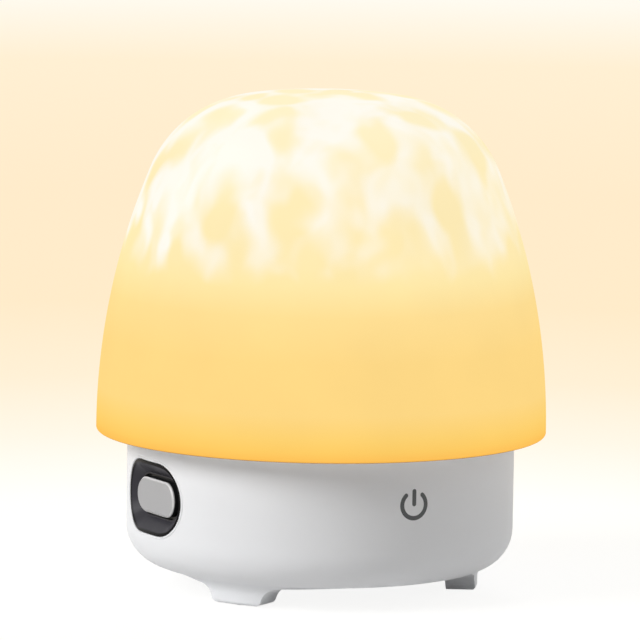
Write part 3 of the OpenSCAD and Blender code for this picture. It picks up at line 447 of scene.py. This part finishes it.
# Feet: three soft silicone pads with rounded rims, glued into the soles over the case screws.
# The screws are zinc-plated steel, turned up through the feet into the tray's posts.
def turned(radius, height, centre=(0.0, 0.0), turns=64):
    """A profile of radii and heights carried once round an upright axis."""
    angle = np.linspace(0, 2 * np.pi, turns, endpoint=False)[None, :]
    return np.stack([centre[0] + radius[:, None] * np.cos(angle),
                     centre[1] + radius[:, None] * np.sin(angle),
                     np.broadcast_to(height[:, None], (len(height), turns))], -1)


# Rolled metal: fine streaks along one direction, and dull clouds
rolled_metal, given, made = node_group(
    "rolled_metal", [("Color", (0.7, 0.7, 0.7, 1.0)), ("Roughness", 0.3), ("Streak", 0.12)], SKIN)
tree = rolled_metal
spot = object_spot(tree)
streak = noise(tree, spot, 1.0, 3.0, (220.0, 5200.0, 5200.0))
light = swing(tree, streak, given.outputs["Streak"], 1.0)
dull = swing(tree, noise(tree, spot, 130.0), 0.2, given.outputs["Roughness"])
tree.links.new(shaded(tree, given.outputs["Color"], light), made.inputs["Color"])
tree.links.new(swing(tree, streak, given.outputs["Streak"], dull), made.inputs["Roughness"])
tree.links.new(streak, made.inputs["Height"])


def metal(name, colour, roughness, streak=0.12, bump_depth=0.000004):
    """A metal finish in one display colour."""
    material, tree, out = new_material(name)
    principled(tree, out, rolled_metal, {"Color": linear(*colour), "Roughness": roughness, "Streak": streak},
               bump_depth, Metallic=1.0)
    return material


pad_low, pad_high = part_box("foot_pads")
pad_r = 0.0030
pad_round = 0.0004
pad_t = pad_high.z - pad_low.z
pad_circle_r = pad_high.y - pad_r
bend = np.linspace(-np.pi / 2, 0, 7)
pad_radius = np.concatenate([[0.0, pad_r / 2], pad_r - pad_round + pad_round * np.cos(bend),
                             [pad_r, pad_r / 2, 0.0]])
pad_height = pad_low.z + np.concatenate([[0.0, 0.0], pad_round + pad_round * np.sin(bend),
                                         [pad_t, pad_t, pad_t]])
foot_turns = np.radians([-150.0, -30.0, 90.0])
pads = [turned(pad_radius, pad_height, (pad_circle_r * math.cos(a), pad_circle_r * math.sin(a)), 48)
        for a in foot_turns]
silicone = moulded("soft_silicone", (226, 226, 224), 0.62, tone=0.02, grain=1900.0, bump_depth=0.00003)
piece("soft_feet", pads, silicone, "housing", ["foot_pads"])
zinc = metal("zinc_plate", (196, 198, 202), 0.34)
dress(zinc, "case_screws", "board_screws", "speaker_screws", "deck_screws", "cap_screws", "motor_screws")


# Loudspeaker: a perforated disc in the floor, and behind it a round driver screwed down on a foam ring.
# Pressed black steel frame, paper cone and cap, rubber roll, cloth spider, copper coil, ferrite magnet.
fibre, given, made = node_group(
    "fibre", [("Color", (0.3, 0.3, 0.3, 1.0)), ("Scale", 900.0), ("Depth", 0.3), ("Roughness", 0.85)], SKIN)
tree = fibre
strands = noise(tree, object_spot(tree), given.outputs["Scale"], 6.0, roughness=0.7)
light = swing(tree, strands, given.outputs["Depth"], 1.0)
tree.links.new(shaded(tree, given.outputs["Color"], light), made.inputs["Color"])
tree.links.new(swing(tree, strands, 0.15, given.outputs["Roughness"]), made.inputs["Roughness"])
tree.links.new(strands, made.inputs["Height"])


def fibrous(name, colour, scale, depth, roughness=0.85, bump_depth=0.00006):
    """Paper, cloth or foam in one display colour."""
    material, tree, out = new_material(name)
    principled(tree, out, fibre, {"Color": linear(*colour), "Scale": scale, "Depth": depth,
                                  "Roughness": roughness}, bump_depth)
    return material


dress(white_abs, "speaker_grille")
grey_foam = fibrous("grey_foam", (76, 76, 78), 1500.0, 1.1, 0.95, 0.00015)
dress(grey_foam, "speaker_gasket", "battery_foam")
dress(moulded("black_coating", (34, 35, 37), 0.45, tone=0.08, grain=1800.0), "speaker_frame")
cone_paper = fibrous("cone_paper", (52, 51, 50), 700.0, 0.9)
dress(cone_paper, "speaker_cone", "dust_cap")
dress(metal("coil_copper", (184, 115, 72), 0.35, 0.2), "voice_coil")
nickel = metal("nickel_plate", (205, 203, 198), 0.26)
dress(nickel, "speaker_top_plate", "speaker_yoke")
ferrite = moulded("sintered_ferrite", (62, 62, 64), 0.7, tone=0.15, grain=3400.0, bump_depth=0.00005)
dress(ferrite, "speaker_magnet")

roll_low, roll_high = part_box("speaker_surround")
cone_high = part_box("speaker_cone")[1]
rubber_t = 0.0005
roll_clearance = 0.00003
roll_points = 25
roll_half = (roll_high.x - cone_high.x) / 2 - roll_clearance
roll_middle = (roll_high.x + cone_high.x) / 2
over_roll = np.linspace(0, np.pi, roll_points)
roll_angle = np.concatenate([over_roll, over_roll[::-1], [0.0]])
roll_radius = roll_half - np.concatenate([np.zeros(roll_points), np.full(roll_points, rubber_t), [0.0]])
surround_roll = turned(roll_middle + roll_radius * np.cos(roll_angle),
                       roll_low.z + roll_radius * np.sin(roll_angle), turns=160)
rubber = moulded("black_rubber", (40, 40, 41), 0.6, tone=0.06, grain=1500.0, bump_depth=0.00003)
piece("rubber_roll", [surround_roll], rubber, "housing", ["speaker_surround"])

cloth_low, cloth_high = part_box("speaker_spider")
cloth_t = 0.0005
coil_clearance = 0.0001
pleats = 5
pleat_points = 121
cloth_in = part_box("voice_coil")[1].x + coil_clearance
run_out = np.linspace(0, 1, pleat_points)
pleat_rise = (cloth_high.z - cloth_low.z - cloth_t) / 2 * (1 - np.cos(2 * np.pi * pleats * run_out))
cloth_r = cloth_in + (cloth_high.x - cloth_in) * run_out
pleat_radius = np.concatenate([cloth_r, cloth_r[::-1], cloth_r[:1]])
pleat_height = cloth_low.z + np.concatenate([pleat_rise, pleat_rise[::-1] + cloth_t, pleat_rise[:1]])
dipped_cloth = fibrous("dipped_cloth", (196, 160, 92), 2400.0, 0.6)
piece("pleated_cloth", [turned(pleat_radius, pleat_height, turns=160)], dipped_cloth, "housing",
      ["speaker_spider"])


# Main board: a round green board screwed under the tray, with its chips, capacitors and radio module.
# Glass-epoxy with solder mask, moulded epoxy packages, tin-plated shield and aluminium cans.
board_print, given, made = node_group(
    "board_print", [("Mask", (0.03, 0.19, 0.08, 1.0)), ("Track", (0.06, 0.3, 0.12, 1.0)), ("Scale", 260.0)],
    SKIN)
tree = board_print
blocks = tree.nodes.new("ShaderNodeTexVoronoi")
blocks.distance = "CHEBYCHEV"
tree.links.new(object_spot(tree), blocks.inputs["Vector"])
tree.links.new(given.outputs["Scale"], blocks.inputs["Scale"])
rings = calc(tree, "FRACT", calc(tree, "MULTIPLY", blocks.outputs["Distance"], 6.0))
track = calc(tree, "GREATER_THAN", rings, 0.55)
tree.links.new(mixed(tree, track, given.outputs["Mask"], given.outputs["Track"]), made.inputs["Color"])
tree.links.new(calc(tree, "MULTIPLY_ADD", track, 0.08, 0.32), made.inputs["Roughness"])
tree.links.new(track, made.inputs["Height"])


def circuit_board(name, mask, track):
    """Solder mask over copper tracks, in two display colours."""
    material, tree, out = new_material(name)
    principled(tree, out, board_print, {"Mask": linear(*mask), "Track": linear(*track)}, 0.00003)
    return material


green_mask = circuit_board("green_mask", (28, 108, 62), (44, 132, 78))
dress(green_mask, "main_board", "port_board", "button_board")
epoxy = moulded("black_epoxy", (36, 36, 38), 0.55, tone=0.08, grain=3000.0)
dress(epoxy, "board_chips", "button_switch", "switch_plunger", "ir_receiver")
bare_aluminium = metal("bare_aluminium", (214, 215, 218), 0.36, 0.16)
dress(bare_aluminium, "board_capacitors", "heat_sink")
dress(nickel, "wireless_module")


# Battery: a flat lithium cell in shrink film, stuck under the tray with foam tape.
# The film is thin and slightly wrinkled over the pouch.
shrink_film = moulded("shrink_film", (110, 150, 190), 0.3, tone=0.06, grain=420.0, bump_depth=0.00012)
dress(shrink_film, "battery_cell")


# Charging port: a plated steel receptacle on a small board, held in two ribs behind the drum's back wall.
# The opening in the wall has a shallow hood for the plug.
dress(nickel, "usb_socket")


# Side button: a dished charcoal surround, polished, clipped into the drum's side from inside.
# In it a satin grey button with a chamfered rim slides on its keeper over a switch; painted shade darkens
# the surround's edges and the button's sides, and a painted highlight lies on the button's rim.
opening_w = 0.0325
opening_h = 0.0218
opening_z = 0.0297
button_w = 0.0228
button_h = 0.0104
# Painted shade on the button's sides begins this far behind its face and comes in over the blend.
painted_shade_in = 0.0007
painted_shade_blend = 0.0002
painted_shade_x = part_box("side_button")[0].x + painted_shade_in
rim_grain = 2300.0
rim_tone = 0.03
rim_bump = 0.000008


def smooth_step(tree, value, start, end):
    """A share that rises smoothly from 0 at the start to 1 at the end, which may be the lower of the two."""
    node = tree.nodes.new("ShaderNodeMapRange")
    node.interpolation_type = "SMOOTHSTEP"
    node.inputs["From Min"].default_value = start
    node.inputs["From Max"].default_value = end
    tree.links.new(value, node.inputs["Value"])
    return node.outputs["Result"]


def coordinates(tree):
    """The X, Y and Z of the point being shaded, by name."""
    split = tree.nodes.new("ShaderNodeSeparateXYZ")
    tree.links.new(object_spot(tree), split.inputs[0])
    return split.outputs


# Rim depth: how far a point lies inside a straight-sided outline with half-circle ends, seen from the side
rim_depth, given, made = node_group(
    "rim_depth", [("Half length", 0.006), ("Radius", 0.005), ("Middle height", 0.03)], [("Inside", VALUE)])
tree = rim_depth
point = coordinates(tree)
past_straight = calc(tree, "SUBTRACT", calc(tree, "ABSOLUTE", point["Y"]), given.outputs["Half length"])
along = calc(tree, "MAXIMUM", past_straight, 0.0)
above = calc(tree, "SUBTRACT", point["Z"], given.outputs["Middle height"])
squares = calc(tree, "MULTIPLY_ADD", along, along, calc(tree, "MULTIPLY", above, above))
from_middle = calc(tree, "SQRT", squares)
tree.links.new(calc(tree, "SUBTRACT", given.outputs["Radius"], from_middle), made.inputs["Inside"])


def rimmed(name, main, bands, roughness, behind=None, **constants):
    """A moulded finish in a main display colour, with bands of painted shade and painted highlight along
    outlines.
    A band is an outline's width and height, a colour, and the depths inside the outline between which it
    comes in.
    Where it is given, behind is an X past which painted shade in one more colour takes over, and that colour."""
    material, tree, out = new_material(name)
    colour = linear(*main)
    for (width, height), band_colour, start, end in bands:
        outline = tree.nodes.new("ShaderNodeGroup")
        outline.node_tree = rim_depth
        outline.inputs["Radius"].default_value = height / 2
        outline.inputs["Half length"].default_value = (width - height) / 2
        outline.inputs["Middle height"].default_value = opening_z
        edge = smooth_step(tree, outline.outputs["Inside"], start, end)
        colour = mixed(tree, edge, colour, linear(*band_colour))
    if behind is not None:
        behind_x, behind_colour = behind
        deep = smooth_step(tree, coordinates(tree)["X"], behind_x, behind_x + painted_shade_blend)
        colour = mixed(tree, deep, colour, linear(*behind_colour))
    principled(tree, out, moulded_skin, {"Color": colour, "Tone": rim_tone, "Roughness": roughness,
                                         "Grain": rim_grain}, rim_bump, **constants)
    return material


# The charcoal is the surround's own colour; the near-black bands along the dish's outer edge and round the
# button's hole are painted shade.
polished_charcoal = rimmed("polished_charcoal", (60, 59, 64),
                           [((opening_w, opening_h), (12, 12, 14), 0.0014, 0.0008),
                            ((button_w, button_h), (8, 8, 10), -0.0013, -0.0007)],
                           0.3, Specular_IOR_Level=0.08)
dress(polished_charcoal, "button_bezel")
# The pale band on the satin grey button's chamfered rim is a painted highlight, and the near-black that takes
# over a little behind its face is painted shade on its sides.
satin_grey = rimmed("satin_grey", (166, 166, 168),
                    [((button_w, button_h), (226, 226, 226), 0.0006, 0.0003)],
                    0.36, behind=(painted_shade_x, (24, 24, 26)))
dress(satin_grey, "side_button")

lip_r = 0.0004
lip_sink = 0.35
end_points = 41
round_points = 14


def drum_lip():
    """A thin round edge carried along the opening's outline, which is a straight-sided shape with half-circle
    ends; the round's across goes out from the outline and its up goes out from the drum."""
    outline_turn = np.concatenate([np.linspace(-np.pi / 2, np.pi / 2, end_points),
                                   np.linspace(np.pi / 2, 3 * np.pi / 2, end_points)])[:, None]
    end_side = np.concatenate([np.ones(end_points), -np.ones(end_points)])[:, None]
    round_turn = np.linspace(0, 2 * np.pi, round_points, endpoint=False)[None, :]
    reach = opening_h / 2 + lip_r + lip_r * np.cos(round_turn)
    side = end_side * (opening_w - opening_h) / 2 + reach * np.cos(outline_turn)
    up = opening_z + reach * np.sin(outline_turn)
    out_r = base_r + lip_r * (np.sin(round_turn) - lip_sink)
    ring = np.stack([-np.sqrt(out_r ** 2 - side ** 2), side, up], -1)
    return np.concatenate([ring, ring[:1]])


piece("opening_lip", [drum_lip()], white_abs, "housing")


# Touch electrode: a patch of copper tape behind the touch symbol, on the inside of the drum's wall.
# It feels a finger through the plastic.
dress(metal("copper_tape", (190, 124, 80), 0.3, 0.1), "touch_electrode")


# Light tray: the white deck that closes the drum and carries the dome, with the ring of lamps on it.
# White-masked ring board, phosphor-filled packages, and the black remote-control eye at the front.
tray_abs = moulded("tray_abs", (214, 214, 213), 0.5, tone=0.02)
dress(tray_abs, "light_tray", "projector_tower", "projector_cap")
white_mask = circuit_board("white_mask", (232, 232, 228), (222, 223, 219))
dress(white_mask, "led_board", "star_board")
phosphor_gel = moulded("phosphor_gel", (238, 214, 120), 0.25, tone=0.05, grain=5000.0)
dress(phosphor_gel, "ring_leds", "projector_led")


# Ripple projector: a lens in a vented tower, a toothed wheel with a waved disc that turns on it,
# and a bridge with a fixed waved disc. The wheel and its pinion are white acetal, the discs clear acrylic.
def clear_acrylic():
    """Clear plastic with faint flow lines in its surface."""
    material, tree, out = new_material("clear_acrylic")
    flow = noise(tree, object_spot(tree), 90.0, 2.0, (1.0, 1.0, 3.0))
    surface = tree.nodes.new("ShaderNodeBsdfPrincipled")
    surface.inputs["Base Color"].default_value = linear(246, 250, 250)
    surface.inputs["Transmission Weight"].default_value = 1.0
    surface.inputs["IOR"].default_value = 1.49
    tree.links.new(calc(tree, "MULTIPLY_ADD", flow, 0.06, 0.02), surface.inputs["Roughness"])
    bumped(tree, surface, flow, 0.00005, 0.3)
    tree.links.new(surface.outputs[0], out.inputs["Surface"])
    return material


dress(clear_acrylic(), "condenser_lens", "ripple_glass", "fixed_ripple_lens")
acetal = moulded("white_acetal", (240, 238, 230), 0.4, tone=0.02, grain=1200.0)
dress(acetal, "ripple_wheel", "motor_pinion")
dress(nickel, "motor_shaft", "motor_bracket")
dress(metal("motor_can", (188, 190, 194), 0.3), "gear_motor")


# Dome: a blow-moulded opal shell on the tray; the warm light of the ring of lamps and, above, the ripples are
# painted glow.
# Outside it is finely matt. The rim is rounded, and a step inside it sits on the tray's wall.
dome_r = 0.067
dome_h = 0.1007
side_r = 0.205
shoulder_r = 0.035
crown_r = 0.176
dome_wall = 0.0024
rim_z = 0.0473
rim_round = 0.0009
rim_step = 0.001
rim_step_h = 0.006


def dome_shell():
    """The outline is three arcs that touch: a tall side arc from the rim, a shoulder arc inside it and a flat
    crown arc, found from where the shoulder's centre is as far from both other centres as the radii differ.
    It goes from the crown's outside down to the rounded rim, in to the step, up inside and back to the axis,
    and is carried round the axis."""
    side_x = dome_r - side_r
    crown_z = dome_h - crown_r
    reach = side_r - shoulder_r
    touch = ((crown_r - shoulder_r) ** 2 - side_x ** 2 - crown_z ** 2 - reach ** 2) / (2 * reach)
    side_end = -math.acos(touch / math.hypot(side_x, crown_z)) - math.atan2(crown_z, side_x)
    shoulder_x = side_x + reach * math.cos(side_end)
    shoulder_z = reach * math.sin(side_end)
    shoulder_end = math.atan2(shoulder_z - crown_z, shoulder_x)

    def outline(inwards, start):
        """Radii and heights along the arcs, set in by a wall, from a height above the rim to the axis."""
        low = math.asin(start / (side_r - inwards))
        side = np.linspace(low, side_end, 40, endpoint=False)
        shoulder = np.linspace(side_end, shoulder_end, 36, endpoint=False)
        crown = np.linspace(shoulder_end, np.pi / 2, 24)
        radius = np.concatenate([side_x + (side_r - inwards) * np.cos(side),
                                 shoulder_x + (shoulder_r - inwards) * np.cos(shoulder),
                                 (crown_r - inwards) * np.cos(crown)])
        height = np.concatenate([(side_r - inwards) * np.sin(side),
                                 shoulder_z + (shoulder_r - inwards) * np.sin(shoulder),
                                 crown_z + (crown_r - inwards) * np.sin(crown)])
        radius[-1] = 0.0
        return radius, rim_z + height

    out_radius, out_height = outline(0.0, 0.0)
    in_radius, in_height = outline(dome_wall, rim_step_h - rim_round)
    curl = np.linspace(0, -np.pi / 2, 9)[1:]
    step_r = dome_r - dome_wall + rim_step
    radius = np.concatenate([out_radius[::-1], dome_r - rim_round + rim_round * np.cos(curl),
                             [step_r, step_r], in_radius])
    height = np.concatenate([out_height[::-1], rim_z + rim_round * np.sin(curl),
                             [rim_z - rim_round, rim_z - rim_round + rim_step_h], in_height])
    return turned(radius, height, turns=240)


# Ripples: counts to the metre, heights above the floor in metres, and shares of their full strength
ripple_place = (0.414, -0.159, 0.541)
ripple_stretch = (1.0, 1.0, 0.5)
bend_count, bend_reach = 52.0, 0.014
cell_count, cell_blur = 76.0, 0.4
cell_swell_count, cell_swell = 120.0, 0.5
net_starts, net_full = 0.25, 0.70
mottle_count, net_least = 140.0, 0.25
gain_x, gain_y, gain_up, gain_start = -3.4, 1.9, 10.0, -0.92
drop_count, drop_edge, drop_core = 70.0, 0.36, 0.10
drop_row_top, drop_row_full = 0.122, 0.112
drop_gain_side, drop_gain_middle = 1.6, 0.65
fade_none, fade_full = 0.105, 0.115
ragged_count, ragged_reach = 90.0, 0.016
haze_count, haze_swing = 42.0, 0.08
glow_strength = 0.955
unlit_share = 0.06
matt_count = 2600.0


def opal_glow():
    """Opal plastic lit from inside, painted as glow: a warm ramp by height, and on it the projector's
    ripples, a white net between soft yellow cells, taller than wide on the side. The net is mottled, grows
    stronger upwards and to one side, and ends below in a ragged edge with a row of soft drops, stronger to
    that side too."""
    material, tree, out = new_material("opal_glow")
    spot = object_spot(tree)
    point = coordinates(tree)
    low, high = rim_z - rim_round, rim_z + dome_h

    def at(z):
        """How far up the dome a height above the floor is, from 0 to 1."""
        return (z - low) / (high - low)

    level = calc(tree, "DIVIDE", calc(tree, "SUBTRACT", point["Z"], low), high - low)
    warm = ramp(tree, level, [
        (0.0, (150, 92, 34)), (at(0.0467), (255, 193, 88)), (at(0.0495), (255, 205, 101)),
        (at(0.053), (255, 211, 113)), (at(0.060), (255, 217, 133)), (at(0.075), (255, 218, 136)),
        (at(0.088), (255, 223, 148)), (at(0.097), (255, 233, 169)), (at(0.102), (255, 235, 177)),
        (at(0.108), (255, 236, 181)), (at(0.122), (255, 237, 185)), (at(0.142), (255, 242, 201))])

    bend = tree.nodes.new("ShaderNodeTexNoise")
    bend.inputs["Scale"].default_value = bend_count
    bend.inputs["Detail"].default_value = 1.0
    tree.links.new(spot, bend.inputs["Vector"])
    push = tree.nodes.new("ShaderNodeVectorMath")
    push.operation = "MULTIPLY_ADD"
    push.inputs[1].default_value = (bend_reach, bend_reach, bend_reach)
    tree.links.new(bend.outputs["Color"], push.inputs[0])
    tree.links.new(spot, push.inputs[2])
    tall = tree.nodes.new("ShaderNodeMapping")
    tall.inputs["Location"].default_value = ripple_place
    tall.inputs["Scale"].default_value = ripple_stretch
    tree.links.new(push.outputs[0], tall.inputs["Vector"])
    waved = tall.outputs["Vector"]

    cells = tree.nodes.new("ShaderNodeTexVoronoi")
    cells.feature = "SMOOTH_F1"
    cells.inputs["Scale"].default_value = cell_count
    cells.inputs["Smoothness"].default_value = cell_blur
    tree.links.new(waved, cells.inputs["Vector"])
    swelled = swing(tree, noise(tree, waved, cell_swell_count, 1.0), cell_swell, cells.outputs["Distance"])
    sideways = calc(tree, "MULTIPLY_ADD", point["X"], gain_x, calc(tree, "MULTIPLY", point["Y"], gain_y))
    upwards = calc(tree, "MULTIPLY_ADD", point["Z"], gain_up, gain_start)
    mottle = calc(tree, "ADD", noise(tree, waved, mottle_count, 1.0), sideways)
    gain = tree.nodes.new("ShaderNodeClamp")
    gain.inputs["Min"].default_value = net_least
    tree.links.new(calc(tree, "ADD", mottle, upwards), gain.inputs["Value"])
    net = calc(tree, "MULTIPLY", smooth_step(tree, swelled, net_starts, net_full), gain.outputs["Result"])

    dots = tree.nodes.new("ShaderNodeTexVoronoi")
    dots.inputs["Scale"].default_value = drop_count
    tree.links.new(waved, dots.inputs["Vector"])
    drop = smooth_step(tree, dots.outputs["Distance"], drop_edge, drop_core)
    drops = calc(tree, "MULTIPLY", drop, smooth_step(tree, point["Z"], drop_row_top, drop_row_full))
    drop_gain = calc(tree, "MULTIPLY_ADD", sideways, drop_gain_side, drop_gain_middle)
    ragged = calc(tree, "MULTIPLY_ADD", noise(tree, waved, ragged_count, 1.0), ragged_reach, point["Z"])
    fade = smooth_step(tree, ragged, fade_none, fade_full)
    ripples = calc(tree, "MULTIPLY", calc(tree, "MULTIPLY_ADD", drops, drop_gain, net), fade)

    light = mixed(tree, ripples, warm, linear(255, 251, 240))
    haze = swing(tree, noise(tree, spot, haze_count), haze_swing, 1.0)
    fine = noise(tree, spot, matt_count, 1.0)
    surface = tree.nodes.new("ShaderNodeBsdfPrincipled")
    surface.inputs["Emission Strength"].default_value = glow_strength
    surface.inputs["Specular IOR Level"].default_value = 0.0
    tree.links.new(shaded(tree, light, haze), surface.inputs["Emission Color"])
    unlit = shaded(tree, light, calc(tree, "MULTIPLY", haze, unlit_share))
    tree.links.new(unlit, surface.inputs["Base Color"])
    tree.links.new(calc(tree, "MULTIPLY_ADD", fine, 0.08, 0.5), surface.inputs["Roughness"])
    bumped(tree, surface, fine, 0.00001, 0.4)
    tree.links.new(surface.outputs[0], out.inputs["Surface"])
    return material


piece("opal_dome", [dome_shell()], opal_glow(), "housing", ["dome_diffuser"])
